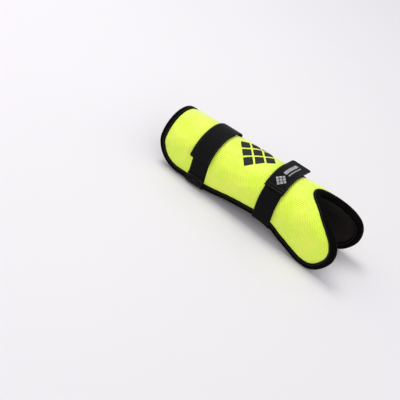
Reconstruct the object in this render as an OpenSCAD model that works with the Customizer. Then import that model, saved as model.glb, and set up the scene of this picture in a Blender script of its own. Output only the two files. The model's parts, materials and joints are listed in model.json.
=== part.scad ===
/* [Pad] */
// Length from the tips of the ankle wings to the knee end
pad_len = 300; // [280:1:330]
// Outer radius of the rounded front over the shin
shin_r = 40; // [38:0.5:43]
// Distance round the pad from the crest to the lowest point of an ankle wing
wing_half = 110; // [106:1:114]
// Distance round the pad from the crest to its edge at the waist, below the lower strap
waist_half = 86; // [83:1:89]
// Distance round the pad from the crest to its edge beside the calf
calf_half = 96; // [93:1:98]
// Depth of the ankle notch, measured back from the wing tips
notch_depth = 62; // [54:1:68]
// Radius of the rounded corners at the knee end
knee_corner_r = 42; // [32:1:44]

/* [Layers] */
// Thickness of the foam core
foam_t = 6; // [4:0.5:7]
// Thickness of the mesh cover and of the lining
fabric_t = 1; // [0.8:0.1:1.2]
// Thickness of the hard shell insert
insert_t = 1.2; // [1:0.1:1.6]
// Width of the binding on each face
binding_w = 10; // [8:0.5:11]
// Radius of the padded disc in each ankle wing
ankle_pad_r = 18; // [14:1:19]

/* [Straps] */
// Width of the elastic straps
strap_w = 28; // [26:1:30]
// Thickness of the elastic straps
strap_t = 1.8; // [1.4:0.1:2.2]
// Width of the closing tabs
tab_w = 31; // [30:0.5:32]
// Centre of the lower strap, measured from the wing tips
lower_x = 113.5; // [112:0.5:118]
// Centre of the upper strap, measured from the wing tips
upper_x = 226; // [220:0.5:232]
// Size of the printed emblem across its corners
emblem_size = 64; // [48:1:68]

/* [Hidden] */
$fn = 96;

// Colours
NEON = [0.80, 0.95, 0.10];
BLACK = [0.07, 0.07, 0.07];
CHARCOAL = [0.16, 0.15, 0.15];
FOAM_GREY = [0.35, 0.36, 0.38];
SHELL_GREY = [0.75, 0.76, 0.78];
THREAD = [0.25, 0.25, 0.25];
LABEL_GREY = [0.60, 0.60, 0.60];

// The pad is a flat laminate curled into a U. A place on it is [x, s]: x runs from
// the wing tips to the knee end and s runs round the outside from the crest, positive
// on the left. The U's round front has its axis on the x axis, and its straight sides
// start a quarter turn from the crest.
quarter = PI * shin_r / 2;
cover_r = shin_r;
foam_r = cover_r - fabric_t;
lining_r = foam_r - foam_t;
inner_r = lining_r - fabric_t;
play = 0.1;
touch = 0.05;
binding_t = 0.8;
binding_gap = 0.3;
binding_r = cover_r + binding_gap + binding_t;
rim_t = 1;
edge_gap = rim_t + 1;

// Straps
loop_t = 1.2;
tab_t = 1.5;
clearance = 0.3;
strap_r = binding_r + clearance;
strap_mid = strap_r + strap_t / 2;
tab_r = strap_r + strap_t + play;
hook_r = cover_r + loop_t + clearance;
hinge_gap = 0.2;
anchor_len = 16;
thread_t = 0.3;
stitch_w = 0.8;

// Where each strap's tab starts, where it lifts off the pad and how long its free end is,
// all for a strap that closes from the left to the right
lower_seam = 36;
lower_lift = -6;
lower_free = 26;
upper_seam = 30;
upper_lift = -45;
upper_free = 12;

// Half outline of the flat laminate: a smooth curve round the ankle notch, the wing, the
// waist and the calf, then a round corner at the knee end
knots = [
    [notch_depth * 0.65, -20], [notch_depth, 0], [notch_depth * 0.65, 20], [6, 50],
    [0, 79], [18, wing_half - 5], [43, wing_half], [79, waist_half + 12],
    [112, waist_half], [160, waist_half + 2.5], [pad_len - 90, calf_half],
    [pad_len - knee_corner_r, calf_half], [pad_len, calf_half]
];
knot_steps = 5;
corner_step = 11.25;

function blend(a, b, c, d, t) =
    b + (c - a) * t / 2
    + (a - 2.5 * b + 2 * c - 0.5 * d) * t * t
    + (1.5 * b - 0.5 * a - 1.5 * c + 0.5 * d) * t * t * t;

side_curve = [
    for (i = [1 : len(knots) - 3], k = [0 : knot_steps - 1])
        blend(knots[i - 1], knots[i], knots[i + 1], knots[i + 2], k / knot_steps)
];
corner_curve = [
    for (a = [0 : corner_step : 90])
        [pad_len, calf_half] + knee_corner_r * [sin(a) - 1, cos(a) - 1]
];
knee_curve = [for (k = [1 : 7]) [pad_len, (calf_half - knee_corner_r) * (1 - k / 7)]];
half_edge = concat(side_curve, corner_curve, knee_curve);
last = len(half_edge) - 1;
corner_end = len(side_curve) + len(corner_curve) - 1;

// The half outline moved inwards by d
function mirrored(p) = [p[0], -p[1]];
function before(i) = i == 0 ? mirrored(half_edge[1]) : half_edge[i - 1];
function after(i) = i == last ? mirrored(half_edge[last - 1]) : half_edge[i + 1];
function inward(v) = [v[1], -v[0]] / norm(v);
function inset_edge(d) = [for (i = [0 : last]) half_edge[i] + d * inward(after(i) - before(i))];

// The whole outline moved inwards by d
function full_edge(d) =
    let (half = inset_edge(d))
    concat(half, [for (i = [last - 1 : -1 : 1]) mirrored(half[i])]);

// Distances from the crest to the outline at all its points between two places along x
function edges(x0, x1) = [for (p = half_edge) if (p[0] >= x0 && p[0] <= x1) p[1]];

// Curling
function turn(s) = s / shin_r * 180 / PI;
function drop(s) = -(abs(s) - quarter);
function curled(p, r) =
    abs(p[1]) <= quarter
    ? [p[0], r * sin(turn(p[1])), r * cos(turn(p[1]))]
    : [p[0], r * sign(p[1]), drop(p[1])];

// Middle height of the band that crosses behind the leg
function band_z(xc) = drop(max(edges(xc - strap_w / 2 - 3, xc + strap_w / 2 + 3))) - clearance - strap_t / 2;
lower_z = band_z(lower_x);
upper_z = band_z(upper_x);

// The guard lies on its two ankle wings and on the upper strap
wing_s = max([for (p = half_edge) p[1]]);
wing_x = [for (p = half_edge) if (p[1] == wing_s) p[0]][0];
rest_x = upper_x + strap_w / 2;
rest_z = upper_z - strap_t / 2;
lean = atan2(rest_z - drop(wing_s), rest_x - wing_x);
lift = wing_x * sin(lean) - drop(wing_s) * cos(lean);
low_x = min([for (p = half_edge) curled(p, cover_r) * [cos(lean), 0, sin(lean)]]);
high_x = max([for (p = half_edge) curled(p, binding_r) * [cos(lean), 0, sin(lean)]]);

module placed() {
    translate([-(low_x + high_x) / 2, 0, lift])
        rotate([0, lean, 0])
            children();
}

// Curled layers. A layer is a U-shaped shell with all that lies outside the outline cut off.
// The cuts run square to the pad's face, so they are made in directions 45 degrees apart, each
// serving one sector of the U and reaching a little way into the next.
sector = 45;
sector_lap = 0.5;
reach = wing_half + 20;
far = 2 * shin_r;
wing_tip = 3 * knot_steps;
margin = 8;

module u_area(r, depth) {
    circle(r);
    translate([-r, -depth])
        square([2 * r, depth]);
}

module along_pad(x0, length) {
    translate([x0, 0, 0])
        rotate([90, 0, 90])
            linear_extrude(length)
                children();
}

module u_shell(r0, r1, end_x) {
    along_pad(-1, end_x + 1)
        difference() {
            u_area(r1, reach);
            u_area(r0, reach + 1);
        }
}

function ray(a) = far * [sin(a), cos(a)];

module sector_wedge(a) {
    half_angle = sector / 2 + sector_lap;
    start = [[0, 0], ray(a - half_angle)];
    finish = a == 90 ? [[far, -reach - margin], [0, -reach - margin]] : [ray(a + half_angle)];
    along_pad(-2 * margin, pad_len + 4 * margin)
        polygon(concat(start, finish));
}

// The outline as seen square to the face, at angle a from the crest
function seen(p, a, r) =
    a == 90 && p[1] > quarter
    ? [p[0], p[1] - quarter]
    : [p[0], r * sin(max(-70, min(70, turn(p[1]) - a)))];

function ankle_x(half, s) = lookup(abs(s), [for (i = [0 : wing_tip]) [half[i][1], half[i][0]]]);

// All that lies outside the outline in one sector
module outside(half, a, r) {
    arc = sector * shin_r * PI / 180;
    low = a * arc / sector - arc;
    high = low + 2 * arc;
    edge = a == 90
        ? [for (i = [0 : last]) if (half[i][1] > low && i <= corner_end) half[i]]
        : [for (k = [0 : 12]) let (s = low + (high - low) * k / 12) [ankle_x(half, s), s]];
    around = a == 90
        ? [[pad_len + margin, half[corner_end][1] - 1], [pad_len + margin, reach + quarter],
            [-margin, reach + quarter], [-margin, low], [ankle_x(half, low), low]]
        : [[-margin, high], [-margin, low]];
    rotate([-a, 0, 0])
        linear_extrude(far)
            polygon([for (p = concat(edge, around)) seen(p, a, r)]);
}

module sector_cut(half, a, r) {
    intersection() {
        sector_wedge(a);
        outside(half, a, r);
    }
}

module layer(r0, r1, d) {
    half = inset_edge(d);
    mid = (r0 + r1) / 2;
    difference() {
        u_shell(r0, r1, pad_len - d);
        sector_cut(half, 0, mid);
        for (side = [0, 1], a = [sector, 2 * sector])
            mirror([0, side, 0])
                sector_cut(half, a, mid);
    }
}

// A ring of the given section, made of [inset, radius] points, swept round the outline
module edge_sweep(section) {
    n = len(section);
    rings = [for (q = section) let (edge = full_edge(q[0])) [for (p = edge) curled(p, q[1])]];
    m = len(rings[0]);
    points = [for (i = [0 : m - 1], j = [0 : n - 1]) rings[j][i]];
    faces = [
        for (i = [0 : m - 1], j = [0 : n - 1])
            let (i1 = (i + 1) % m, j1 = (j + 1) % n)
            each [[i * n + j, i1 * n + j, i1 * n + j1], [i * n + j, i1 * n + j1, i * n + j1]]
    ];
    polyhedron(points, faces);
}

// A ribbon of thickness t in the pad's cross-section. It follows the pad from s0 to s1 with
// its inner face at radius r, and free_len of it runs on straight past s0.
ribbon_step = 3;
function across(s, r) = let (p = curled([0, s], r)) [p[1], p[2]];
function straight_on(s, r, length) = across(s, r) - length * [cos(turn(s)), -sin(turn(s))];
function ribbon_face(s0, s1, r, free_len) =
    let (count = ceil((s1 - s0) / ribbon_step))
    concat(
        free_len > 0 ? [straight_on(s0, r, free_len)] : [],
        [for (k = [0 : count]) across(s0 + (s1 - s0) * k / count, r)]
    );

module ribbon(xc, w, s0, s1, r, t, free_len = 0, round_s1 = false) {
    inner = ribbon_face(s0, s1, r, free_len);
    outer = ribbon_face(s0, s1, r + t, free_len);
    n = len(outer);
    mid = across(s1, r + t / 2);
    cap = round_s1
        ? [for (a = [30 : 30 : 150]) mid + t / 2 * [sin(a + turn(s1)), cos(a + turn(s1))]]
        : [];
    along_pad(xc - w / 2, w)
        polygon(concat(outer, cap, [for (k = [n - 1 : -1 : 0]) inner[k]]));
}

module round_end(xc, w, y, z, t) {
    translate([xc - w / 2, y, z])
        rotate([0, 90, 0])
            cylinder(d = t, h = w, $fn = 24);
}

// Inner pieces
module insert_plan(grow) {
    x0 = notch_depth + 30;
    x1 = pad_len - 18;
    half_w = shin_r - 5;
    r = 16;
    for (x = [x0 + r, x1 - r], y = [r - half_w, half_w - r])
        translate([x, y])
            circle(r + grow);
    translate([x0 - grow, r - half_w])
        square([x1 - x0 + 2 * grow, 2 * (half_w - r)]);
    translate([x0 + r, -half_w - grow])
        square([x1 - x0 - 2 * r, 2 * (half_w + grow)]);
}

module insert_shape(r0, r1, grow) {
    intersection() {
        difference() {
            rotate([0, 90, 0])
                cylinder(r = r1, h = pad_len);
            translate([-1, 0, 0])
                rotate([0, 90, 0])
                    cylinder(r = r0, h = pad_len + 2);
        }
        linear_extrude(shin_r + 10)
            insert_plan(grow);
    }
}

ankle_pad_t = foam_t / 2;
ankle_pad_x = 45;
ankle_pad_z = -18;
module ankle_disc(side, grow) {
    translate([ankle_pad_x, side * (lining_r - grow), ankle_pad_z])
        rotate([-90 * side, 0, 0])
            cylinder(r = ankle_pad_r + grow, h = ankle_pad_t + 2 * grow);
}

module mesh_cover() {
    color(NEON)
        layer(foam_r, cover_r, edge_gap);
}

module shell_insert() {
    color(SHELL_GREY)
        insert_shape(foam_r - insert_t, foam_r, 0);
}

module foam_pad() {
    color(FOAM_GREY)
        difference() {
            layer(lining_r, foam_r, edge_gap);
            insert_shape(foam_r - insert_t - play, foam_r + 1, play);
            ankle_disc(1, play);
            ankle_disc(-1, play);
        }
}

module ankle_pad(side) {
    color(CHARCOAL)
        ankle_disc(side, 0);
}

module lining() {
    color(CHARCOAL)
        layer(inner_r, lining_r, edge_gap);
}

module edge_binding() {
    outer_face = cover_r + binding_gap;
    inner_face = inner_r - play;
    color(BLACK)
        edge_sweep([
            [binding_w, outer_face], [binding_w / 2, outer_face], [rim_t, outer_face],
            [rim_t, inner_face], [binding_w, inner_face],
            [binding_w, inner_face - binding_t], [rim_t / 2, inner_face - binding_t],
            [0, inner_face], [0, outer_face],
            [rim_t / 2, binding_r], [binding_w / 2, binding_r], [binding_w, binding_r]
        ]);
}

module binding_seam() {
    seam_in = binding_w - 2;
    color(THREAD)
        edge_sweep([
            [seam_in, binding_r + play], [seam_in - stitch_w, binding_r + play],
            [seam_in - stitch_w / 2, binding_r + thread_t]
        ]);
}

module front_emblem() {
    pitch = emblem_size / sqrt(2) / 3;
    tile = pitch - 1.8;
    x = (lower_x + upper_x) / 2 - 2;
    color(BLACK)
        intersection() {
            difference() {
                rotate([0, 90, 0])
                    cylinder(r = cover_r + thread_t, h = pad_len);
                rotate([0, 90, 0])
                    cylinder(r = cover_r, h = pad_len);
            }
            translate([x, 0, 0])
                linear_extrude(shin_r + 10)
                    rotate(45)
                        for (i = [-1 : 1], j = [-1 : 1])
                            translate([i, j] * pitch)
                                square(tile, center = true);
        }
}

// Strap pieces, each for a strap that is sewn on at the right and closes from the left
module loop_strip(xc, end_s) {
    start_s = min(edges(xc - strap_w / 2, xc + strap_w / 2)) - binding_w - 1;
    color(BLACK)
        ribbon(xc, strap_w, -start_s, end_s, cover_r + touch, loop_t);
}

function strap_start(z) = quarter - (z + strap_t / 2 + hinge_gap);

module anchor(xc, z) {
    start = strap_start(z);
    color(BLACK)
        ribbon(xc, strap_w, -start, -start + anchor_len, strap_r, strap_t);
}

module anchor_stitches(xc, z) {
    start = strap_start(z);
    high = drop(start - anchor_len + 3);
    low = drop(start - 3);
    face = -strap_r - strap_t - thread_t;
    half_w = strap_w / 2 - 3;
    slant = atan2(high - low, 2 * half_w);
    color(THREAD)
        translate([xc, face, 0]) {
            for (h = [low, high - stitch_w])
                translate([-half_w, 0, h])
                    cube([2 * half_w, thread_t, stitch_w]);
            for (x = [-half_w, half_w - stitch_w])
                translate([x, 0, low])
                    cube([stitch_w, thread_t, high - low]);
            for (a = [-slant, slant])
                translate([0, 0, (low + high) / 2])
                    rotate([0, a, 0])
                        translate([3 - half_w, 0, -stitch_w / 2])
                            cube([2 * half_w - 6, thread_t, stitch_w]);
        }
}

module rear_band(xc, z) {
    color(BLACK) {
        translate([xc - strap_w / 2, -strap_mid, z - strap_t / 2])
            cube([strap_w, 2 * strap_mid, strap_t]);
        for (side = [-1, 1])
            round_end(xc, strap_w, side * strap_mid, z, strap_t);
    }
}

module side_band(xc, z, seam) {
    overlap = 8;
    color(BLACK)
        ribbon(xc, strap_w, seam - overlap, strap_start(z), strap_r, strap_t);
}

module tab(xc, seam, lift_s, free_len) {
    color(BLACK)
        ribbon(xc, tab_w, lift_s, seam, tab_r, tab_t, free_len, true);
}

module tab_hook(xc, seam, lift_s, free_len) {
    overlap = 11;
    color(CHARCOAL)
        ribbon(xc, tab_w - 4, lift_s, seam - overlap, hook_r, tab_r - touch - hook_r, free_len - 3);
}

module tab_stitches(xc, seam) {
    count = 7;
    pitch = (tab_w - 4) / count;
    color(THREAD)
        for (row = [3, 6.5], k = [0 : count - 1])
            rotate([-turn(seam - row), 0, 0])
                translate([xc + (k - count / 2 + 0.2) * pitch, -stitch_w / 2, tab_r + tab_t])
                    cube([0.6 * pitch, stitch_w, thread_t]);
}

module tab_label(xc, seam, lift_s) {
    color(LABEL_GREY)
        ribbon(xc, 14, lift_s + 2, seam - 10, tab_r + tab_t + touch, thread_t);
}

// The upper strap is the lower one's mirror image: it is sewn on at the left
module upper() {
    mirror([0, 1, 0])
        children();
}

placed() mesh_cover();
placed() shell_insert();
placed() foam_pad();
placed() ankle_pad(1);  // left_ankle_pad
placed() ankle_pad(-1);  // right_ankle_pad
placed() lining();
placed() edge_binding();
placed() binding_seam();
placed() front_emblem();
placed() upper() loop_strip(upper_x, 10);  // upper_loop_strip
placed() upper() anchor(upper_x, upper_z);  // upper_anchor
placed() upper() anchor_stitches(upper_x, upper_z);  // upper_anchor_stitches
placed() upper() rear_band(upper_x, upper_z);  // upper_rear_band
placed() upper() side_band(upper_x, upper_z, upper_seam);  // upper_side_band
placed() upper() tab(upper_x, upper_seam, upper_lift, upper_free);  // upper_tab
placed() upper() tab_hook(upper_x, upper_seam, upper_lift, upper_free);  // upper_tab_hook
placed() upper() tab_stitches(upper_x, upper_seam);  // upper_tab_stitches
placed() loop_strip(lower_x, 12);  // lower_loop_strip
placed() anchor(lower_x, lower_z);  // lower_anchor
placed() anchor_stitches(lower_x, lower_z);  // lower_anchor_stitches
placed() rear_band(lower_x, lower_z);  // lower_rear_band
placed() side_band(lower_x, lower_z, lower_seam);  // lower_side_band
placed() tab(lower_x, lower_seam, lower_lift, lower_free);  // lower_tab
placed() tab_hook(lower_x, lower_seam, lower_lift, lower_free);  // lower_tab_hook
placed() tab_stitches(lower_x, lower_seam);  // lower_tab_stitches
placed() tab_label(lower_x, lower_seam, lower_lift);  // lower_tab_label
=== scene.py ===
import json
import math
import random

import bpy
import numpy as np
from mathutils import Matrix, Vector
from mathutils.bvhtree import BVHTree
from mathutils.geometry import delaunay_2d_cdt


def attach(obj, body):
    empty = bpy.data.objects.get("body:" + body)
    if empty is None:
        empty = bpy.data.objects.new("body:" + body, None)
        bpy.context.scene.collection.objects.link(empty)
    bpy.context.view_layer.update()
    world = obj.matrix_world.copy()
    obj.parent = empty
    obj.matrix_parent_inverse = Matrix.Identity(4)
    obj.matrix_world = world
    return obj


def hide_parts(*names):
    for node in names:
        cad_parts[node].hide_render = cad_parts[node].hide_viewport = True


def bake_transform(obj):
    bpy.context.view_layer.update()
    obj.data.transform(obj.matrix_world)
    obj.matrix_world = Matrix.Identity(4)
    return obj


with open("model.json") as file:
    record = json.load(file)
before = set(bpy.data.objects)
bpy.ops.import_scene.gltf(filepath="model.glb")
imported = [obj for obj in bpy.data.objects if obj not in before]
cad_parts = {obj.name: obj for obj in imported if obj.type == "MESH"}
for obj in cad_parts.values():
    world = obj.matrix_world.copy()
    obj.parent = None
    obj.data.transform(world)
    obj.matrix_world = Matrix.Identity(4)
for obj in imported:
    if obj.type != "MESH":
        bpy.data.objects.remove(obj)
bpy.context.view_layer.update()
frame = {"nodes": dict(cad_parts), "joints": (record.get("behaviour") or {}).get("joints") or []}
rng = random.Random(7)

# Shapes are worked out in millimetres in the pad's own frame: x from the wing tips to the knee end,
# y to the left, z above the axis of the U's round front. A place on the pad is (x, s), where s runs
# round the outside from the crest, and its height is measured out from the cover's nominal face.
MM = 0.001
PAD_LENGTH = 300
SHIN_R = 40
QUARTER = math.pi * SHIN_R / 2
WING_HALF = 110
WAIST_HALF = 86
CALF_HALF = 96
NOTCH_DEPTH = 62
KNEE_CORNER_R = 42
PAD_THICKNESS = 8
BINDING_WIDTH = 10
SHEET_INSET = 2.2
ANKLE_PAD = (45, QUARTER + 18)
ANKLE_PAD_R = 18
STRAP_WIDTH = 28
STRAP_THICKNESS = 1.4
STRAP_MID_R = 41.95
TAB_WIDTH = 31
TAB_THICKNESS = 1.4
TAB_MID_R = 43.45
TAB_HINGE_R = 44.05
SEAM_OVERLAP = 8
BEND_R = 5
EMBLEM_SIZE = 64


class Strap:
    """A strap that is sewn on at one side of the pad and closes from the other. Its own (y, z)
    plane is that of a strap sewn on at the right; side mirrors it. Its tab is sewn on at seam,
    leaves the pad at lift and runs on for free; drift, curl and narrow say how it lies."""

    def __init__(self, name, x, seam, lift, free, side, loop_end, pad_half, drift, curl, narrow):
        self.name, self.x, self.side = name, x, side
        self.seam, self.lift, self.free = seam, lift, free
        self.loop_end, self.pad_half = loop_end, pad_half
        self.drift, self.curl, self.narrow = drift, curl, narrow

    def joint(self, name):
        return joint_place(f"{self.name}_{name}")

    def band_z(self):
        """The middle height of the band behind the leg."""
        return to_pad(self.joint("strap_open"))[2]

    def rise(self, x, y, z):
        """How much higher than its CAD band the soft strap runs, where it hugs the pad's edge."""
        lowest = QUARTER - self.band_z() - STRAP_THICKNESS / 2 - 0.3
        hug = lowest - np.interp(x, *EDGE)
        middle = lowest - np.interp(self.x, *EDGE)
        across = smooth_step(0, 24, STRAP_MID_R - np.abs(y))
        low = 1 - smooth_step(self.band_z() + 4, self.band_z() + 26, z)
        return low * (hug + (middle - hug) * across)


LOWER = Strap(
    "lower", 113.5, seam=36, lift=-6, free=26, side=1, loop_end=12, pad_half=WAIST_HALF,
    drift=0.6, curl=0.8, narrow=0.0,
)
UPPER = Strap(
    "upper", 226, seam=30, lift=-45, free=12, side=-1, loop_end=10, pad_half=CALF_HALF,
    drift=1.6, curl=0.5, narrow=1.4,
)
STRAPS = (LOWER, UPPER)


# Placement: the pad's axis comes from a hinge, and its origin from where that hinge sits on the pad
def joint_place(name):
    return Vector(next(j for j in frame["joints"] if j["name"] == name)["pos_m"])


ALONG = Vector(next(j for j in frame["joints"] if j["name"] == "upper_tab_peel")["axis"])
UP = Vector((-ALONG.z, 0, ALONG.x))
ORIGIN = joint_place("upper_tab_peel") - MM * (
    UPPER.x * ALONG + TAB_HINGE_R * math.cos(UPPER.seam / SHIN_R) * UP
)
ORIGIN.y = 0
TO_ROW = np.array([ALONG, (0, 1, 0), UP])


def to_row(points):
    """Pad millimetres to row metres."""
    return np.asarray(points, float) @ TO_ROW * MM + np.array(ORIGIN)


def to_pad(point):
    return TO_ROW @ (np.array(point) - np.array(ORIGIN)) / MM


def on_pad(x, s, height):
    """Points in the pad's frame over the places (x, s)."""
    x, s, height = np.broadcast_arrays(np.asarray(x, float), s, height)
    r = SHIN_R + height
    turn = np.clip(s / SHIN_R, -math.pi / 2, math.pi / 2)
    below = np.maximum(np.abs(s) - QUARTER, 0)
    return np.stack([x, r * np.sin(turn), r * np.cos(turn) - below], -1)


def outward(s):
    """Unit normals of the pad's face at s."""
    turn = np.clip(np.asarray(s, float) / SHIN_R, -math.pi / 2, math.pi / 2)
    return np.stack([np.zeros_like(turn), np.sin(turn), np.cos(turn)], -1)


def smooth_step(a, b, value):
    t = np.clip((np.asarray(value, float) - a) / (b - a), 0, 1)
    return t * t * (3 - 2 * t)


# The pad's outline in the flat
def curve_through(knots, steps):
    """The smooth curve through all knots but the first and the last, which only steer it."""
    points = []
    for a, b, c, d in zip(knots, knots[1:], knots[2:], knots[3:]):
        for t in np.arange(steps) / steps:
            points.append(
                b
                + (c - a) * t / 2
                + (a - 2.5 * b + 2 * c - 0.5 * d) * t**2
                + (1.5 * b - 0.5 * a - 1.5 * c + 0.5 * d) * t**3
            )
    return points


def resampled(points, spacing, closed=True):
    """Points evenly spaced along a line."""
    line = np.vstack([points, points[:1]]) if closed else np.asarray(points)
    run = np.concatenate([[0], np.cumsum(np.linalg.norm(np.diff(line, axis=0), axis=1))])
    count = round(run[-1] / spacing)
    stops = np.linspace(0, run[-1], count + 1)[: count if closed else None]
    return np.stack([np.interp(stops, run, column) for column in line.T], -1)


def pad_outline(spacing):
    shoulder = NOTCH_DEPTH * 0.65
    knots = [
        (shoulder, -20), (NOTCH_DEPTH, 0), (shoulder, 20), (6, 50), (0, 79),
        (18, WING_HALF - 5), (43, WING_HALF), (79, WAIST_HALF + 12), (112, WAIST_HALF),
        (160, WAIST_HALF + 2.5), (PAD_LENGTH - 90, CALF_HALF),
        (PAD_LENGTH - KNEE_CORNER_R, CALF_HALF), (PAD_LENGTH, CALF_HALF),
    ]
    half = curve_through([np.array(k, float) for k in knots], 24)
    centre = np.array([PAD_LENGTH - KNEE_CORNER_R, CALF_HALF - KNEE_CORNER_R])
    for a in np.radians(np.arange(0, 91, 3)):
        half.append(centre + KNEE_CORNER_R * np.array([math.sin(a), math.cos(a)]))
    half.append(np.array([PAD_LENGTH, 0.0]))
    half = np.array(half)
    other = half[-2:0:-1] * [1, -1]
    return resampled(np.vstack([half, other]), spacing)


def inset(outline, distance):
    """A closed outline moved inwards."""
    tangent = np.roll(outline, -1, 0) - np.roll(outline, 1, 0)
    tangent /= np.linalg.norm(tangent, axis=1)[:, None]
    return outline + np.reshape(distance, (-1, 1)) * np.stack([tangent[:, 1], -tangent[:, 0]], -1)


OUTLINE = pad_outline(1.5)
EDGE = np.array(sorted((x, s) for x, s in OUTLINE if s > QUARTER and 43 < x < PAD_LENGTH - 20)).T


def edge_distance(places):
    """Distance in the flat from each place to the outline."""
    a, b = OUTLINE, np.roll(OUTLINE, -1, 0)
    ab = b - a
    best = np.full(len(places), np.inf)
    for start, run in zip(a, ab):
        t = np.clip((places - start) @ run / (run @ run), 0, 1)
        best = np.minimum(best, np.linalg.norm(places - start - t[:, None] * run, axis=1))
    return best


def inside(places, outline):
    """True for each place that lies within a closed outline."""
    result = np.zeros(len(places), bool)
    for (x0, s0), (x1, s1) in zip(outline, np.roll(outline, -1, 0)):
        if s0 == s1:
            continue
        crosses = (places[:, 1] > min(s0, s1)) & (places[:, 1] <= max(s0, s1))
        left = places[:, 0] < x0 + (places[:, 1] - s0) / (s1 - s0) * (x1 - x0)
        result ^= crosses & left
    return result


# Meshes
def make_piece(name, points, faces, flat=None, smooth=True):
    """A mesh object from points in the pad's frame. flat holds each point's place on the cloth it was
    cut from, in millimetres, which the materials read in metres."""
    mesh = bpy.data.meshes.new(name)
    mesh.from_pydata([tuple(p) for p in to_row(points)], [], [tuple(map(int, f)) for f in faces])
    if flat is not None:
        cloth = mesh.attributes.new("cloth", "FLOAT_VECTOR", "POINT")
        cloth.data.foreach_set("vector", (np.asarray(flat, float) * MM).astype(np.float32).ravel())
    if smooth:
        mesh.shade_smooth()
    piece = bpy.data.objects.new(name, mesh)
    bpy.context.scene.collection.objects.link(piece)
    return piece


def grid_faces(rows, columns, close_rows=False, close_columns=False):
    i, j = np.meshgrid(
        np.arange(rows if close_rows else rows - 1),
        np.arange(columns if close_columns else columns - 1),
        indexing="ij",
    )
    i, j = i.ravel(), j.ravel()
    i1, j1 = (i + 1) % rows, (j + 1) % columns
    return np.stack(
        [i * columns + j, i1 * columns + j, i1 * columns + j1, i * columns + j1], -1
    ).tolist()


def end_caps(rows, size):
    """The faces that close both ends of a ribbon whose ring of size points goes out along its face
    and comes back along its other face."""
    faces = []
    for row, flip in ((0, 1), (rows - 1, -1)):
        for j in range(size // 2 - 1):
            near, away = row * size + j, row * size + size - 1 - j
            faces.append([near, near + 1, away - 1, away][::flip])
    return faces


def flat_sheet(edge_inset, spacing):
    """Places and faces that fill the outline, moved inwards by edge_inset."""
    border = resampled(inset(OUTLINE, edge_inset), spacing)
    xs = np.arange(0, PAD_LENGTH, spacing)
    ss = np.arange(-WING_HALF - 3, WING_HALF + 3, spacing)
    places = np.stack(np.meshgrid(xs, ss, indexing="ij"), -1).reshape(-1, 2)
    places = places[inside(places, border)]
    places = places[edge_distance(places) > edge_inset + 0.6 * spacing]
    everything = [Vector(p) for p in np.vstack([border, places])]
    ring = [(k, (k + 1) % len(border)) for k in range(len(border))]
    points, _, faces, *_ = delaunay_2d_cdt(everything, ring, [], 1, 1e-5)
    return np.array(points), [tuple(reversed(f)) for f in faces]


# Node trees
class Tree:
    """A short way to write a material's nodes."""

    def __init__(self, name):
        self.material = bpy.data.materials.new(name)
        self.material.use_nodes = True
        self.nodes = self.material.node_tree.nodes
        self.links = self.material.node_tree.links
        self.shader = self.nodes["Principled BSDF"]

    def add(self, kind, settings=None, **inputs):
        made = self.nodes.new(kind)
        for key, value in (settings or {}).items():
            setattr(made, key, value)
        for key, value in inputs.items():
            by_number = key[0] == "i" and key[1:].isdigit()
            self.join(value, made.inputs[int(key[1:]) if by_number else key])
        return made

    def join(self, value, socket):
        if isinstance(value, bpy.types.NodeSocket):
            self.links.new(value, socket)
        else:
            socket.default_value = value

    def math(self, operation, a, b=0.0, c=0.0):
        return self.add("ShaderNodeMath", {"operation": operation}, i0=a, i1=b, i2=c).outputs[0]

    def vector(self, operation, a, b=(0, 0, 0)):
        made = self.add("ShaderNodeVectorMath", {"operation": operation}, i0=a, i1=b)
        return made.outputs["Value" if operation in ("LENGTH", "DOT_PRODUCT") else "Vector"]

    def cloth(self):
        """The place on the cut cloth, in metres."""
        return self.add("ShaderNodeAttribute", {"attribute_name": "cloth"}).outputs["Vector"]

    def split(self, vector):
        return self.add("ShaderNodeSeparateXYZ", i0=vector).outputs

    def noise(self, vector, size, detail=3.0, roughness=0.55):
        """Noise whose features are about size metres across."""
        return self.add(
            "ShaderNodeTexNoise", Vector=vector, Scale=1 / size, Detail=detail, Roughness=roughness
        ).outputs[0]

    def wave(self, coordinate, pitch):
        """From 0 to 1 and back every pitch metres."""
        turn = self.math("MULTIPLY", coordinate, 2 * math.pi / pitch)
        return self.math("MULTIPLY_ADD", self.math("SINE", turn), 0.5, 0.5)

    def range(self, value, a, b, low=0.0, high=1.0):
        """value from a to b, turned smoothly into low to high."""
        settings = {"interpolation_type": "SMOOTHSTEP"}
        return self.add("ShaderNodeMapRange", settings, i0=value, i1=a, i2=b, i3=low, i4=high).outputs[0]

    def mix(self, share, a, b):
        made = self.add("ShaderNodeMix", {"data_type": "RGBA"})
        self.join(share, made.inputs[0])
        self.join(a, made.inputs[6])
        self.join(b, made.inputs[7])
        return made.outputs[2]

    def bump(self, height, depth):
        made = self.add("ShaderNodeBump", Height=height, Distance=depth, Strength=1.0)
        self.links.new(made.outputs[0], self.shader.inputs["Normal"])

    def set(self, **values):
        for key, value in values.items():
            self.join(value, self.shader.inputs[key.replace("_", " ")])


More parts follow.
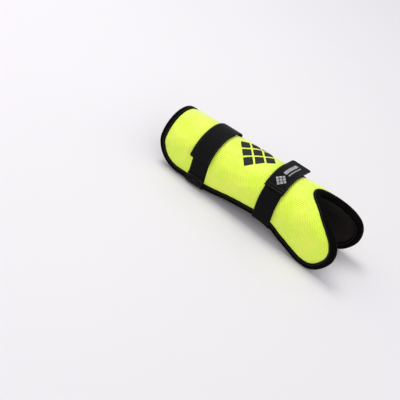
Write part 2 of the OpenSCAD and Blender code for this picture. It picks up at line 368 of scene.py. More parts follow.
def neon_mesh():
    """Knitted spacer mesh: round holes in rows that step by half a pitch, over a soft knit."""
    t = Tree("neon_mesh")
    place = t.cloth()
    pitch, row = 0.0027, 0.0027 * math.sqrt(3)
    cells = []
    for shift in (0.0, 0.5):
        grid = t.vector("DIVIDE", place, (pitch, row, 1))
        cell = t.vector("FRACTION", t.vector("ADD", grid, (shift, shift, 0)))
        offset = t.vector("MULTIPLY", t.vector("SUBTRACT", cell, (0.5, 0.5, 0)), (pitch, row, 0))
        cells.append(t.vector("LENGTH", offset))
    from_hole = t.math("MINIMUM", *cells)
    fabric = t.range(from_hole, 0.00035, 0.00085)
    knit = t.noise(place, 0.0006, detail=2)
    cloud = t.noise(place, 0.03, detail=2)
    worn = t.noise(place, 0.006)
    bright = t.mix(t.range(cloud, 0.3, 0.7), (0.73, 0.97, 0.030, 1), (0.88, 0.98, 0.085, 1))
    bright = t.mix(t.range(worn, 0.35, 0.7, 0.0, 0.4), bright, (0.68, 0.93, 0.03, 1))
    # The holes are painted darker than the fabric round them: painted shade in the recesses.
    t.set(Base_Color=t.mix(fabric, (0.50, 0.70, 0.012, 1), bright))
    t.set(Roughness=t.range(knit, 0.2, 0.8, 0.52, 0.68))
    t.set(Sheen_Weight=0.62, Sheen_Roughness=0.45, Sheen_Tint=(1.0, 1.0, 1.0, 1), Specular_IOR_Level=0.65)
    # The faint emission is a painted glow that brightens the neon; the fabric is no lamp.
    t.set(Emission_Color=(0.70, 0.90, 0.06, 1), Emission_Strength=0.07)
    height = t.math("MULTIPLY_ADD", knit, 0.35, fabric)
    t.bump(height, 0.00035)
    return t.material


def lining_fabric():
    t = Tree("lining_fabric")
    place = t.cloth()
    nap = t.noise(place, 0.0011, detail=5)
    brushed = t.noise(t.vector("MULTIPLY", place, (0.25, 1, 1)), 0.004)
    colour = t.mix(nap, (0.0040, 0.0026, 0.0024, 1), (0.0135, 0.0095, 0.0090, 1))
    t.set(Base_Color=t.mix(t.range(brushed, 0.3, 0.8, 0, 0.5), colour, (0.017, 0.012, 0.011, 1)))
    t.set(Roughness=t.range(nap, 0.2, 0.8, 0.8, 0.95))
    t.set(Sheen_Weight=0.12, Sheen_Roughness=0.5, Sheen_Tint=(0.7, 0.6, 0.58, 1), Specular_IOR_Level=0.15)
    t.bump(t.math("MULTIPLY_ADD", nap, 0.6, brushed), 0.0004)
    return t.material


def binding_tape():
    """Grosgrain: fine ribs across the tape."""
    t = Tree("binding_tape")
    place = t.cloth()
    along = t.split(place)[0]
    ribs = t.wave(along, 0.0009)
    yarn = t.noise(t.vector("MULTIPLY", place, (1, 0.3, 1)), 0.0008)
    fade = t.noise(place, 0.02)
    # The ribs are painted lighter on their crests and darker between them: painted light and shade on the
    # relief.
    colour = t.mix(ribs, (0.0010, 0.0010, 0.0009, 1), (0.0030, 0.0030, 0.0026, 1))
    t.set(Base_Color=t.mix(t.range(fade, 0.35, 0.75, 0, 0.35), colour, (0.005, 0.005, 0.0045, 1)))
    t.set(Roughness=t.range(yarn, 0.2, 0.8, 0.6, 0.8))
    t.set(Sheen_Weight=0.003, Sheen_Roughness=0.4, Specular_IOR_Level=0.03)
    t.bump(t.math("MULTIPLY_ADD", yarn, 0.5, ribs), 0.00018)
    return t.material


def webbing(name, dark, light, weave_pitch, rough, sheen):
    """Woven tape: short herringbone floats, painted slightly lighter where the yarn stands up, as a
    painted highlight.
    """
    t = Tree(name)
    place = t.cloth()
    along, across, _ = t.split(place)
    zigzag = t.math("PINGPONG", across, 4 * weave_pitch)
    weave = t.wave(t.math("ADD", along, zigzag), weave_pitch)
    picks = t.wave(across, weave_pitch * 0.8)
    yarn = t.noise(place, 0.0007)
    worn = t.noise(place, 0.012)
    raised = t.math("MULTIPLY", weave, picks)
    # Painted highlight on the raised floats, and painted shade in the hollows between them.
    colour = t.mix(raised, dark, light)
    t.set(Base_Color=t.mix(t.range(worn, 0.4, 0.75, 0, 0.4), colour, light))
    t.set(Roughness=t.range(yarn, 0.2, 0.8, rough, rough + 0.18))
    t.set(Sheen_Weight=sheen, Sheen_Roughness=0.35, Specular_IOR_Level=0.1)
    t.bump(t.math("MULTIPLY_ADD", yarn, 0.4, raised), 0.00022)
    return t.material


def loop_tape():
    t = Tree("loop_tape")
    place = t.cloth()
    pile = t.noise(place, 0.0007, detail=4)
    clump = t.noise(place, 0.005)
    t.set(Base_Color=t.mix(pile, (0.002, 0.002, 0.002, 1), (0.010, 0.009, 0.009, 1)))
    t.set(Roughness=t.range(clump, 0.3, 0.7, 0.75, 0.95))
    t.set(Sheen_Weight=0.04, Sheen_Roughness=0.5, Specular_IOR_Level=0.1)
    t.bump(t.math("ADD", pile, clump), 0.0005)
    return t.material


def moulded(name, base, mottled, rough, grain):
    t = Tree(name)
    place = t.add("ShaderNodeTexCoord").outputs["Object"]
    fine = t.noise(place, grain)
    broad = t.noise(place, 0.02)
    t.set(Base_Color=t.mix(broad, base, mottled))
    t.set(Roughness=t.range(fine, 0.3, 0.7, rough, rough + 0.12))
    t.bump(fine, 0.0001)
    return t.material


def printed(name, base, raised_lit_colour, rough):
    """A rubbery transfer print, through which the mesh's holes show as dimples, with painted shade in the
    dimples and painted light on the raised parts between them.
    """
    t = Tree(name)
    place = t.cloth()
    grain = t.noise(place, 0.0005, detail=2)
    dimples = t.noise(place, 0.0024, detail=1)
    # Painted shade and light: darker in the dimples, lighter on the raised parts.
    t.set(Base_Color=t.mix(t.range(dimples, 0.35, 0.7), base, raised_lit_colour))
    t.set(Roughness=t.range(grain, 0.3, 0.7, rough, rough + 0.15))
    t.set(Specular_IOR_Level=0.25)
    t.bump(t.math("MULTIPLY_ADD", grain, 0.3, dimples), 0.00025)
    return t.material


def thread_material():
    t = Tree("thread")
    place = t.add("ShaderNodeTexCoord").outputs["Object"]
    twist = t.noise(place, 0.0005, detail=2)
    t.set(Base_Color=t.mix(twist, (0.006, 0.006, 0.006, 1), (0.022, 0.022, 0.022, 1)))
    t.set(Roughness=t.range(twist, 0.3, 0.7, 0.45, 0.65), Sheen_Weight=0.1)
    t.bump(twist, 0.0001)
    return t.material


GREY_PLASTIC = ((0.52, 0.53, 0.55, 1), (0.58, 0.59, 0.6, 1))
FOAM_GREY = ((0.10, 0.10, 0.11, 1), (0.14, 0.14, 0.15, 1))
HOOK_BLACK = ((0.012, 0.012, 0.013, 1), (0.02, 0.02, 0.021, 1))
# Dark and light tones of the woven tapes; the light tone is painted highlight on their raised yarn, and
# also the tone of random lighter patches.
ELASTIC_BLACK = ((0.0012, 0.0011, 0.0012, 1), (0.0050, 0.0046, 0.0048, 1))
TAB_BLACK = ((0.0020, 0.0018, 0.0019, 1), (0.0070, 0.0064, 0.0064, 1))
# Dark and light tones of the prints; the light tone is painted light on their raised parts.
EMBLEM_BLACK = ((0.006, 0.007, 0.006, 1), (0.018, 0.021, 0.010, 1))
LABEL_GREY = ((0.24, 0.24, 0.25, 1), (0.42, 0.42, 0.43, 1))

MATERIALS = {
    "neon_mesh": neon_mesh(),
    "shell_plastic": moulded("shell_plastic", *GREY_PLASTIC, rough=0.32, grain=0.0008),
    "foam": moulded("foam", *FOAM_GREY, rough=0.85, grain=0.0012),
    "lining_fabric": lining_fabric(),
    "binding_tape": binding_tape(),
    "thread": thread_material(),
    "print": printed("print", *EMBLEM_BLACK, rough=0.55),
    "loop_tape": loop_tape(),
    "elastic": webbing("elastic", *ELASTIC_BLACK, weave_pitch=0.0016, rough=0.6, sheen=0.012),
    "tab_fabric": webbing("tab_fabric", *TAB_BLACK, weave_pitch=0.0009, rough=0.52, sheen=0.025),
    "hook_tape": moulded("hook_tape", *HOOK_BLACK, rough=0.4, grain=0.0006),
    "label_print": printed("label_print", *LABEL_GREY, rough=0.45),
}


def finish_piece(piece, slot, body=None, replaces=()):
    piece.data.materials.append(MATERIALS[slot])
    if body:
        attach(piece, body)
    if replaces:
        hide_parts(*replaces)
    return piece


# Pad
def strap_press(x, s):
    """From 0 clear of the straps to 1 under them."""
    press = np.zeros(np.broadcast(x, s).shape)
    for strap in STRAPS:
        away = np.abs(x - strap.x) - STRAP_WIDTH / 2
        press = np.maximum(press, 1 - smooth_step(0.5, 13, away))
    return press


def cover_height(places):
    """The cover sinks under the binding and the straps and is full in between."""
    x, s = places.T
    full = smooth_step(BINDING_WIDTH - 2, BINDING_WIDTH + 16, edge_distance(places))
    soft = 0.35 * np.sin(x / 17 + 1.3) * np.cos(s / 23) * full
    rise = full * (1 - 0.85 * strap_press(x, s))
    return -0.5 + 1.9 * rise + soft * (1 - strap_press(x, s))


def pressed_cloth(piece, places, heights):
    """Lets the cover swell as cloth between the binding and the straps that hold it down."""
    held = np.maximum(1 - smooth_step(BINDING_WIDTH - 1, BINDING_WIDTH + 2, edge_distance(places)),
                      (strap_press(places[:, 0], places[:, 1]) > 0.98).astype(float))
    group = piece.vertex_groups.new(name="held")
    for k, weight in enumerate(held):
        if weight > 0:
            group.add([k], float(weight), "REPLACE")
    cloth = piece.modifiers.new("Cloth", "CLOTH")
    settings = cloth.settings
    settings.vertex_group_mass = "held"
    settings.pin_stiffness = 1
    settings.quality = 6
    settings.mass = 0.05
    settings.tension_stiffness = settings.compression_stiffness = 30
    settings.shear_stiffness = 10
    settings.bending_stiffness = 0.6
    settings.shrink_min = -0.012
    settings.use_pressure = True
    settings.uniform_pressure_force = 2.5
    settings.effector_weights.gravity = 0
    cloth.collision_settings.use_collision = False
    cloth.point_cache.frame_start, cloth.point_cache.frame_end = 1, 20
    for step in range(1, 21):
        bpy.context.scene.frame_set(step)
    swollen = piece.evaluated_get(bpy.context.evaluated_depsgraph_get()).data
    co = np.empty(len(swollen.vertices) * 3, np.float32)
    swollen.vertices.foreach_get("co", co)
    piece.modifiers.remove(cloth)
    piece.vertex_groups.remove(group)
    bpy.context.scene.frame_set(1)
    rest = to_row(on_pad(*places.T, heights))
    normals = outward(places[:, 1]) @ TO_ROW
    moved = (co.reshape(-1, 3) - rest) / MM
    swelling = np.clip((moved * normals).sum(1), -0.1, 1.6)[:, None]
    final = (rest + swelling * normals * MM).astype(np.float32)
    piece.data.vertices.foreach_set("co", final.ravel())
    piece.data.update()


def make_cover():
    places, faces = flat_sheet(SHEET_INSET, 2.2)
    heights = cover_height(places)
    piece = make_piece("cover_cloth", on_pad(*places.T, heights), faces, np.c_[places, heights * 0])
    pressed_cloth(piece, places, heights)
    finish_piece(piece, "neon_mesh", "pad", ["mesh_cover"])
    declare_sheet()
    return piece


def flat_area(outline):
    """Square metres within an outline."""
    x, s = outline.T
    return float(abs(np.sum(x * np.roll(s, -1) - np.roll(x, -1) * s)) / 2 * MM * MM)


def declare_sheet():
    """The cover and the lining are cut from cloth a little smaller than the binding's outline; this works
    out that cloth's area and does not keep it.
    """
    flat_area(inset(OUTLINE, SHEET_INSET))


def ankle_bulge(places):
    """How far the ankle pads swell the lining, with a sewn groove round each."""
    x, s = places.T
    away = np.hypot(x - ANKLE_PAD[0], np.abs(s) - ANKLE_PAD[1])
    swell = 1.4 * (1 - smooth_step(6, ANKLE_PAD_R + 1, away))
    groove = np.exp(-((away - ANKLE_PAD_R - 3) / 1.6) ** 2)
    return swell - 0.7 * groove


def make_lining():
    places, faces = flat_sheet(SHEET_INSET, 2.6)
    full = smooth_step(BINDING_WIDTH - 2, BINDING_WIDTH + 12, edge_distance(places))
    waves = 0.3 * np.sin(places[:, 0] / 13) * np.sin(places[:, 1] / 15 + 0.6)
    heights = -PAD_THICKNESS + 0.6 - (0.8 + waves) * full - ankle_bulge(places) * full
    inwards = [f[::-1] for f in faces]
    piece = make_piece("lining_cloth", on_pad(*places.T, heights), inwards, np.c_[places, heights * 0])
    finish_piece(piece, "lining_fabric", "pad", ["lining"])
    declare_sheet()
    return piece


def make_foam():
    """The foam core, crowned like the cover, with pockets for the shell insert and the ankle pads."""
    places, faces = flat_sheet(2.4, 3)
    x, s = places.T
    count = len(places)
    front = cover_height(places) - 1.1
    y = SHIN_R * np.sin(np.clip(s / SHIN_R, -math.pi / 2, math.pi / 2))
    over_shell = (x > NOTCH_DEPTH + 27) & (x < PAD_LENGTH - 15)
    over_shell &= (np.abs(s) < QUARTER) & (np.abs(y) < SHIN_R - 1.5)
    front = np.where(over_shell, np.minimum(front, -2.35), front)
    away = np.hypot(x - ANKLE_PAD[0], np.abs(s) - ANKLE_PAD[1])
    back = np.where(away < ANKLE_PAD_R + 3, -3.8, -PAD_THICKNESS + 1.5)
    border = {}
    for f in faces:
        for a, b in zip(f, f[1:] + f[:1]):
            border[(a, b)] = border.get((a, b), 0) + 1
    rim = [(a, b) for (a, b) in border if (b, a) not in border]
    points = np.vstack([on_pad(x, s, front), on_pad(x, s, back)])
    every = faces + [tuple(k + count for k in f[::-1]) for f in faces]
    every += [(b, a, a + count, b + count) for a, b in rim]
    piece = make_piece("foam_core", points, every, np.vstack([np.c_[places, 0 * x], np.c_[places, 0 * x]]))
    finish_piece(piece, "foam", "pad", ["foam_pad"])
    return piece


def binding_section():
    """Each point of the binding's section: how far in from the outline, and its height."""
    rim_r = 4.2
    middle = -PAD_THICKNESS / 2
    outer_top, inner_top = 0.95, -PAD_THICKNESS - 0.85
    outer = [
        (BINDING_WIDTH + 0.1, -0.6), (BINDING_WIDTH + 0.15, 0.2), (BINDING_WIDTH - 0.2, outer_top),
        (BINDING_WIDTH - 1.4, outer_top), (BINDING_WIDTH - 2, outer_top - 0.2),
        (BINDING_WIDTH - 2.6, outer_top), (BINDING_WIDTH - 5, outer_top + 0.1),
    ]
    nose = [(rim_r * (1 - math.sin(a)) * 0.95, middle + (rim_r + 0.75) * math.cos(a))
            for a in np.radians(np.arange(0, 181, 15))]
    inner = [(i, inner_top - (h - outer_top)) for i, h in reversed(outer)]
    inner[-1] = (inner[-1][0], -PAD_THICKNESS + 0.4)
    return outer + nose + inner


def outline_run():
    """Distance along the outline of each of its points."""
    steps = np.linalg.norm(np.roll(OUTLINE, -1, 0) - OUTLINE, axis=1)
    return np.concatenate([[0], np.cumsum(steps)[:-1]])


def make_binding():
    run = outline_run()
    gather = 0.10 * np.sin(run / 3.1) + 0.08 * np.sin(run / 1.9 + 1) + 0.07 * np.sin(run / 7.3)
    section = binding_section()
    width = np.concatenate([[0], np.cumsum(np.linalg.norm(np.diff(section, axis=0), axis=1))])
    rings, flat = [], []
    for (inward, height), v in zip(section, width):
        ripple = gather * smooth_step(2, 9, inward)
        sign = 1 if height > -PAD_THICKNESS / 2 else -1
        places = inset(OUTLINE, inward + 0.5 * ripple)
        rings.append(on_pad(*places.T, height + sign * ripple * 0.7))
        flat.append(np.c_[run, np.full_like(run, v), 0 * run])
    points = np.stack(rings, 1).reshape(-1, 3)
    faces = grid_faces(len(OUTLINE), len(section), close_rows=True)
    piece = make_piece("binding_tape", points, [f[::-1] for f in faces], np.stack(flat, 1).reshape(-1, 3))
    return finish_piece(piece, "binding_tape", "pad", ["edge_binding"])


# Thread: each stitch is a short bowed strand whose ends sink into the cloth
def thread_piece(name, stitches, radius=0.38, bow=0.35):
    sides = 6
    shape = (
        (0, 0.45, -0.6), (0.12, 0.9, 0.1), (0.35, 1, 0.85),
        (0.65, 1, 0.85), (0.88, 0.9, 0.1), (1, 0.45, -0.6),
    )
    points, faces = [], []
    for start, end, normal in stitches:
        start, end, normal = (np.array(v, float) for v in (start, end, normal))
        run = (end - start) / np.linalg.norm(end - start)
        across = np.cross(run, normal)
        base = len(points)
        for t, swell, height in shape:
            centre = start + (end - start) * t + normal * bow * height
            for a in np.arange(sides) * 2 * math.pi / sides:
                points.append(centre + radius * swell * (math.cos(a) * across + math.sin(a) * normal))
        faces += [tuple(base + k for k in f) for f in grid_faces(len(shape), sides, close_columns=True)]
        faces.append(tuple(base + k for k in range(sides)))
        faces.append(tuple(base + (len(shape) - 1) * sides + k for k in reversed(range(sides))))
    return make_piece(name, points, faces)


def make_binding_seam():
    pitch, length, inward = 3.4, 2.5, BINDING_WIDTH - 2
    line = resampled(inset(OUTLINE, inward), pitch)
    ahead = np.roll(line, -1, 0) - line
    stitches = []
    for height, sign in ((0.85, 1), (-PAD_THICKNESS - 0.75, -1)):
        starts = on_pad(*line.T, height)
        ends = on_pad(*(line + ahead * length / pitch).T, height)
        stitches += list(zip(starts, ends, sign * outward(line[:, 1])))
    piece = thread_piece("binding_seam_thread", stitches)
    return finish_piece(piece, "thread", "pad", ["binding_seam"])


def make_emblem(cover):
    """Nine printed tiles in a lozenge, laid on the cover's final surface."""
    bpy.context.view_layer.update()
    mesh = cover.data
    surface = BVHTree.FromPolygons([v.co for v in mesh.vertices], [p.vertices for p in mesh.polygons])
    pitch = EMBLEM_SIZE / math.sqrt(2) / 3
    tile, steps, raised = pitch - 1.8, 11, 0.28
    centre_x = (LOWER.x + UPPER.x) / 2 - 2
    turn = math.sqrt(0.5)
    points, flat, faces = [], [], []
    profile = np.linspace(-0.5, 0.5, steps + 1)
    for i in (-1, 0, 1):
        for j in (-1, 0, 1):
            base = len(points)
            for a in profile:
                for b in profile:
                    u, v = pitch * i + tile * a, pitch * j + tile * b
                    x, s = centre_x + (u - v) * turn, (u + v) * turn
                    origin = Vector(to_row(on_pad(x, s, 12)))
                    inwards = -Vector(outward(s) @ TO_ROW)
                    hit = surface.ray_cast(origin, inwards)[0]
                    border = max(abs(a), abs(b)) > 0.499
                    lift = -0.1 if border else raised
                    points.append(to_pad(hit - inwards * lift * MM))
                    flat.append((x, s, 0))
            faces += [tuple(base + k for k in f) for f in grid_faces(steps + 1, steps + 1)]
    piece = make_piece("emblem_print", points, faces, flat)
    return finish_piece(piece, "print", "pad", ["front_emblem"])


# Straps
class Line:
    """A strap's centreline in its own (y, z) plane, walked from the anchor round the back to the tab.
    Its outer side is on the right of the way it is walked."""

    def __init__(self, points):
        self.points = resampled(np.array(points), 1.1, closed=False)
        tangent = np.gradient(self.points, axis=0)
        tangent /= np.linalg.norm(tangent, axis=1)[:, None]
        self.normals = np.stack([tangent[:, 1], -tangent[:, 0]], -1)
        steps = np.linalg.norm(np.diff(self.points, axis=0), axis=1)
        self.run = np.concatenate([[0], np.cumsum(steps)])

    def at(self, run):
        """Points and outer normals at distances along the line."""
        pick = lambda values: np.stack([np.interp(run, self.run, column) for column in values.T], -1)
        return pick(self.points), pick(self.normals)


def arc(centre, radius, start, finish, steps=24):
    """Points on an arc. Angles are in degrees from up, positive towards the left."""
    angles = np.radians(np.linspace(start, finish, steps))
    return [(centre[0] + radius * math.sin(a), centre[1] + radius * math.cos(a)) for a in angles]


def in_strap(strap, run_points, normals, x, height):
    """Pad points from strap points, mirrored for a strap sewn on at the left."""
    yz = run_points + normals * np.asarray(height)[..., None]
    y, z = yz[..., 0], yz[..., 1]
    return np.stack([np.broadcast_to(x, y.shape), strap.side * y, z + strap.rise(x, y, z)], -1)


def root_line(strap):
    """The sewn-on end and half of the band behind the leg."""
    z, top = strap.band_z(), strap.band_z() + 1.1 + 16
    corner = (-STRAP_MID_R + BEND_R, z + BEND_R)
    return Line([(-STRAP_MID_R + 0.9, top), *arc(corner, BEND_R, -90, -180, 10), (0, z)])


def wrap_line(strap):
    """The other half of that band, and the band up the side and over to the tab's seam."""
    z = strap.band_z()
    corner = (STRAP_MID_R - BEND_R, z + BEND_R)
    end = math.degrees((strap.seam - SEAM_OVERLAP) / SHIN_R)
    return Line([(0, z), *arc(corner, BEND_R, 180, 90, 10), *arc((0, 0), STRAP_MID_R, 90, end, 60)])


def tab_line(strap):
    over = arc((0, 0), TAB_MID_R, math.degrees(strap.seam / SHIN_R), math.degrees(strap.lift / SHIN_R), 60)
    last, turn = over[-1], strap.lift / SHIN_R
    for run in (strap.free / 2, strap.free):
        over.append((last[0] - run * math.cos(turn), last[1] + run * math.sin(turn)))
    return Line(over)


def ribbon(name, strap, line, width, thickness, ribs=0, rib_height=0.0, corner_r=0.0, drift=0.0, curl=0.0,
           start_run=0.0, narrow_start=0.0):
    """A closed woven ribbon along a line. ribs are ridges along it, and corner_r rounds the corners at
    its far end, which drifts along the pad and curls outwards by so much. Each side of its first part
    is narrower by narrow_start."""
    half = width / 2
    selvedge = thickness * 0.5
    across = np.linspace(-1, 1, 6 * ribs + 1 if ribs else 25)
    across = np.sign(across) * (1 - (1 - np.abs(across)) ** 1.15)
    v = across * half
    edge = np.clip((np.abs(v) - (half - selvedge)) / selvedge, 0, 1)
    body = thickness / 2 * np.sqrt(1 - 0.92 * edge**2)
    ridge = rib_height * np.cos(across * ribs * math.pi) * (1 - edge) if ribs else 0 * v
    ring_v = np.concatenate([v, v[::-1]])
    ring_h = np.concatenate([body + ridge, -(body + ridge)[::-1]])
    run, total = line.run, line.run[-1]
    to_end = total - run
    into_corner = np.clip(corner_r - to_end, 0, corner_r)
    narrow = corner_r - np.sqrt(corner_r**2 - into_corner**2)
    narrow = np.maximum(narrow, narrow_start * (1 - smooth_step(4, 26, run)))
    share = run / total
    points, flat = [], []
    for k, u in enumerate(run):
        squeeze = (half - narrow[k]) / half
        x = strap.x + ring_v * squeeze + drift * smooth_step(0.35, 1, share[k])
        height = ring_h + curl * smooth_step(0.7, 1, share[k]) * (1 + 0.25 * ring_v / half)
        line_point = np.broadcast_to(line.points[k], (len(ring_v), 2))
        normal = np.broadcast_to(line.normals[k], (len(ring_v), 2))
        points.append(in_strap(strap, line_point, normal, x, height))
        flat.append(np.c_[np.full_like(ring_v, start_run + u), ring_v, ring_h])
    size = len(ring_v)
    faces = grid_faces(len(run), size, close_columns=True) + end_caps(len(run), size)
    if strap.side < 0:
        faces = [f[::-1] for f in faces]
    return make_piece(name, np.concatenate(points), faces, np.concatenate(flat))


def make_root(strap):
    piece = ribbon(
        f"{strap.name}_strap_root", strap, root_line(strap), STRAP_WIDTH, STRAP_THICKNESS,
        ribs=11, rib_height=0.11,
    )
    finish_piece(piece, "elastic", replaces=[f"{strap.name}_anchor"])
    z = strap.band_z()
    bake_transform(piece)
    return piece


def make_wrap(strap):
    piece = ribbon(
        f"{strap.name}_strap_wrap", strap, wrap_line(strap), STRAP_WIDTH, STRAP_THICKNESS,
        ribs=11, rib_height=0.11, start_run=root_line(strap).run[-1],
    )
    finish_piece(piece, "elastic", replaces=[f"{strap.name}_rear_band", f"{strap.name}_side_band"])
    z = strap.band_z()
    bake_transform(piece)
    return piece


def make_tab(strap):
    piece = ribbon(
        f"{strap.name}_tab_cloth", strap, tab_line(strap), TAB_WIDTH, TAB_THICKNESS,
        corner_r=2.5, drift=strap.drift, curl=strap.curl, narrow_start=strap.narrow,
    )
    finish_piece(piece, "tab_fabric", replaces=[f"{strap.name}_tab"])
    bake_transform(piece)
    return piece


def make_hooks(strap):
    """The hook panel under the tab: a thin base with rows of small bent hooks."""
    line = tab_line(strap)
    begin, end = 11.5, line.run[-1] - 3
    width, base_t, pitch = TAB_WIDTH - 4, 0.5, 1.5
    hook_shape = ((0, 0.22, 0), (0.45, 0.13, 0), (0.8, 0.12, 0.4), (0.75, 0.06, 1))

    def place(run, v, depth):
        spots, normals = line.at(run)
        share = run / line.run[-1]
        x = strap.x + v + strap.drift * smooth_step(0.35, 1, share)
        height = -TAB_THICKNESS / 2 - depth + strap.curl * smooth_step(0.7, 1, share)
        return in_strap(strap, spots, normals, x, height)

    runs = np.arange(begin, end, 1.3)
    vs = np.linspace(-width / 2, width / 2, 15)
    ring_v = np.concatenate([vs, vs[::-1]])
    ring_d = np.concatenate([0 * vs, 0 * vs + base_t])
    points = [place(np.full_like(ring_v, r), ring_v, ring_d) for r in runs]
    size = len(ring_v)
    faces = grid_faces(len(runs), size, close_columns=True) + end_caps(len(runs), size)
    points = list(np.concatenate(points))
    for r in np.arange(begin + 1, end - 1, pitch):
        for v in np.arange(-width / 2 + 1, width / 2 - 0.5, pitch):
            base = len(points)
            tip = rng.choice((-0.35, 0.35))
            for height, girth, bend in hook_shape:
                for a in (0, 90, 180, 270):
                    dr, dv = girth * math.cos(math.radians(a)), girth * math.sin(math.radians(a))
                    spot = np.array(r + dr + tip * bend), np.array(v + dv)
                    points.append(place(*spot, np.array(base_t + height)))
            faces += [tuple(base + k for k in f) for f in grid_faces(4, 4, close_columns=True)]
    if strap.side < 0:
        faces = [f[::-1] for f in faces]
    piece = make_piece(f"{strap.name}_hook_panel", points, faces)
    return finish_piece(piece, "hook_tape", f"{strap.name}_closing_tab", [f"{strap.name}_tab_hook"])


def make_loops(strap):
    """The loop strip on the cover: a fuzzy base with a pile of small loops."""
    start = -(strap.pad_half - BINDING_WIDTH - 1)
    ss = np.arange(start, strap.loop_end + 0.01, 1.1)
    vs = np.linspace(-STRAP_WIDTH / 2, STRAP_WIDTH / 2, 25)
    points, flat = [], []
    for s in ss:
        fuzz = np.array([0.12 * rng.random() for _ in vs])
        edge = np.minimum(1, (STRAP_WIDTH / 2 - np.abs(vs)) / 1.2)
        tip = min(1, (s - start) / 1.2, (strap.loop_end - s) / 1.2)
        height = -0.4 + (1.05 + fuzz) * np.sqrt(np.clip(edge * max(tip, 0), 0, 1))
        points.append(on_pad(strap.x + vs, strap.side * s, height))
        flat.append(np.c_[vs, np.full_like(vs, s), height])
    faces = grid_faces(len(ss), len(vs))
    points = list(np.concatenate(points))
    flat = list(np.concatenate(flat))
    for _ in range(2600):
        s = rng.uniform(start + 1, strap.loop_end - 1)
        v = rng.uniform(-STRAP_WIDTH / 2 + 0.8, STRAP_WIDTH / 2 - 0.8)
        a = rng.uniform(0, 2 * math.pi)
        base = len(points)
        for t in (-1, -0.45, 0.45, 1):
            for w in (-0.09, 0.09):
                dv = 0.5 * t * math.cos(a) - w * math.sin(a)
                ds = 0.5 * t * math.sin(a) + w * math.cos(a)
                points.append(on_pad(strap.x + v + dv, strap.side * (s + ds), 0.55 + 0.62 * (1 - t * t)))
                flat.append((v + dv, s + ds, 0))
        faces += [(base + k, base + k + 2, base + k + 3, base + k + 1) for k in (0, 2, 4)]
    if strap.side > 0:
        faces = [f[::-1] for f in faces]
    piece = make_piece(f"{strap.name}_loop_pile", points, faces, flat)
    return finish_piece(piece, "loop_tape", "pad", [f"{strap.name}_loop_strip"])


def stitches_on_line(strap, line, from_place, to_place, height, pitch=2.6, length=1.9):
    """Stitches between two (run, v) places on a strap."""
    a, b = np.array(from_place, float), np.array(to_place, float)
    count = max(1, int(np.linalg.norm(b - a) / pitch))
    stitches = []
    for k in range(count):
        start = a + (b - a) * k / count
        end = start + (b - a) / count * length / pitch
        ends = []
        for run, v in (start, end):
            spot, normal = line.at(run)
            ends.append(in_strap(strap, spot, normal, strap.x + v, np.array(height)))
        direction = np.array([0, strap.side * normal[0], normal[1]])
        stitches.append((ends[0], ends[1], direction))
    return stitches


def make_anchor_stitches(strap):
    """A sewn box with a cross, through the anchor."""
    line = root_line(strap)
    height = STRAP_THICKNESS / 2 + 0.1
    low, high, half = 2, 13.5, STRAP_WIDTH / 2 - 2.5
    corners = [(low, -half), (low, half), (high, half), (high, -half)]
    stitches = []
    rows = [*zip(corners, corners[1:] + corners[:1]), corners[::2], corners[1::2]]
    for start, end in rows:
        stitches += stitches_on_line(strap, line, start, end, height)
    piece = thread_piece(f"{strap.name}_anchor_thread", stitches)
    return finish_piece(piece, "thread", "pad", [f"{strap.name}_anchor_stitches"])


def make_tab_stitches(strap):
    line = tab_line(strap)
    half, face = TAB_WIDTH / 2, TAB_THICKNESS / 2
    stitches = []
    for run in (1.8, 6.2):
        stitches += stitches_on_line(strap, line, (run, 1.5 - half), (run, half - 1.5), face + 0.05)
    for v in (2 - half, half - 2):
        stitches += stitches_on_line(strap, line, (9, v), (line.run[-1] - 3.5, v), face + 0.02)
    piece = thread_piece(f"{strap.name}_tab_thread", stitches, radius=0.3, bow=0.2)
    finish_piece(piece, "thread", replaces=[f"{strap.name}_tab_stitches"])
    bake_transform(piece)
    return piece


def make_label():
    """The lower tab's plain grey print: a small lozenge of tiles and two bars."""
    strap = LOWER
    line = tab_line(strap)
    shapes = []
    tile, pitch, turn = 3.4, 4.3, math.sqrt(0.5)
    centre = np.array([17.0, 0.0])
    for i in (-1, 0, 1):
        for j in (-1, 0, 1):
            middle = centre + pitch * np.array([(i - j) * turn, (i + j) * turn])
            corner = tile / 2 * turn
            shapes.append((middle, np.array([corner, corner]), np.array([-corner, corner]), 3))
    bar_middle, bar_half = 44.5, 16.0
    for v, half_height in ((2.2, 2.6), (-4.2, 0.8)):
        shapes.append((np.array([bar_middle, v]), np.array([bar_half, 0]), np.array([0, half_height]), 27))
    points, flat, faces = [], [], []
    for middle, u, v, steps in shapes:
        base = len(points)
        for a in np.linspace(-1, 1, steps):
            for b in (-1, 0, 1):
                run, across = middle + a * u + b * v
                spot, normal = line.at(run)
                share = run / line.run[-1]
                height = TAB_THICKNESS / 2 + 0.12 + strap.curl * smooth_step(0.7, 1, share)
                x = strap.x + across + strap.drift * smooth_step(0.35, 1, share)
                points.append(in_strap(strap, spot, normal, x, height))
                flat.append((run, across, 0))
        faces += [tuple(base + k for k in f) for f in grid_faces(steps, 3)]
    piece = make_piece("lower_tab_print", points, faces, flat)
    return finish_piece(piece, "label_print", "lower_closing_tab", ["lower_tab_label"])


# Stage
def floor_material():
    t = Tree("floor")
    place = t.add("ShaderNodeTexCoord").outputs["Object"]
    t.set(Base_Color=t.mix(t.noise(place, 0.4), (0.785, 0.765, 0.785, 1), (0.805, 0.785, 0.805, 1)))
    t.set(Roughness=0.6, Specular_IOR_Level=0.2)
    return t.material


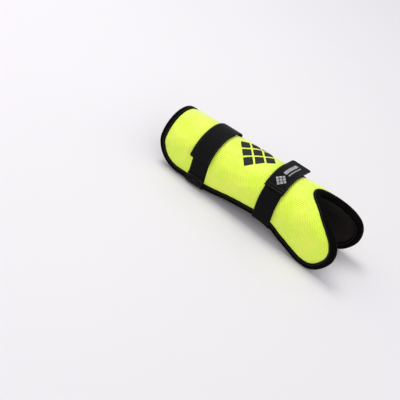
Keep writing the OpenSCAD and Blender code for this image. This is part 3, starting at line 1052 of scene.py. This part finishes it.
def make_stage():
    mesh = bpy.data.meshes.new("floor")
    mesh.from_pydata([(-4, -4, 0), (4, -4, 0), (4, 4, 0), (-4, 4, 0)], [], [(0, 1, 2, 3)])
    floor = bpy.data.objects.new("floor", mesh)
    bpy.context.scene.collection.objects.link(floor)
    mesh.materials.append(floor_material())


def make_lights():
    world = bpy.data.worlds.new("studio")
    world.use_nodes = True
    background = world.node_tree.nodes["Background"]
    background.inputs["Color"].default_value = (0.965, 0.955, 0.985, 1)
    background.inputs["Strength"].default_value = 0.7
    bpy.context.scene.world = world
    lamps = (("softbox", (0.75, -0.1, 1.65), 0.75, 15.5), ("fill", (-1.4, 1.5, 1.2), 1.2, 7.5))
    for name, place, size, power in lamps:
        data = bpy.data.lights.new(name, "AREA")
        data.size, data.energy = size, power
        lamp = bpy.data.objects.new(name, data)
        lamp.location = place
        lamp.rotation_euler = (-Vector(place)).to_track_quat("-Z", "Y").to_euler()
        bpy.context.scene.collection.objects.link(lamp)


def make_camera():
    data = bpy.data.cameras.new("camera")
    data.lens, data.sensor_width = 90, 36
    data.clip_start, data.clip_end = 0.05, 20
    camera = bpy.data.objects.new("camera", data)
    look = Vector((0.3449, -0.7309, -0.5889)).normalized()
    right = look.cross(Vector((0.5609, -0.3426, 0.7537))).normalized()
    upward = right.cross(look)
    turn = Matrix((right, upward, -look)).transposed()
    camera.matrix_world = Matrix.Translation((-0.4227, 1.0545, 0.8049)) @ turn.to_4x4()
    bpy.context.scene.collection.objects.link(camera)
    bpy.context.scene.camera = camera


def dress_inner_parts():
    """The pieces that are taken over from the CAD as they are."""
    slots = {"shell_insert": "shell_plastic", "left_ankle_pad": "foam", "right_ankle_pad": "foam"}
    for node, slot in slots.items():
        mesh = frame["nodes"][node].data
        mesh.materials.clear()
        mesh.materials.append(MATERIALS[slot])


make_camera()
make_stage()
make_lights()
bpy.context.scene.view_settings.view_transform = "Standard"
cover = make_cover()
make_foam()
make_lining()
make_binding()
make_binding_seam()
make_emblem(cover)
for strap in STRAPS:
    make_loops(strap)
    make_root(strap)
    make_wrap(strap)
    make_tab(strap)
    make_hooks(strap)
    make_anchor_stitches(strap)
    make_tab_stitches(strap)
make_label()
dress_inner_parts()
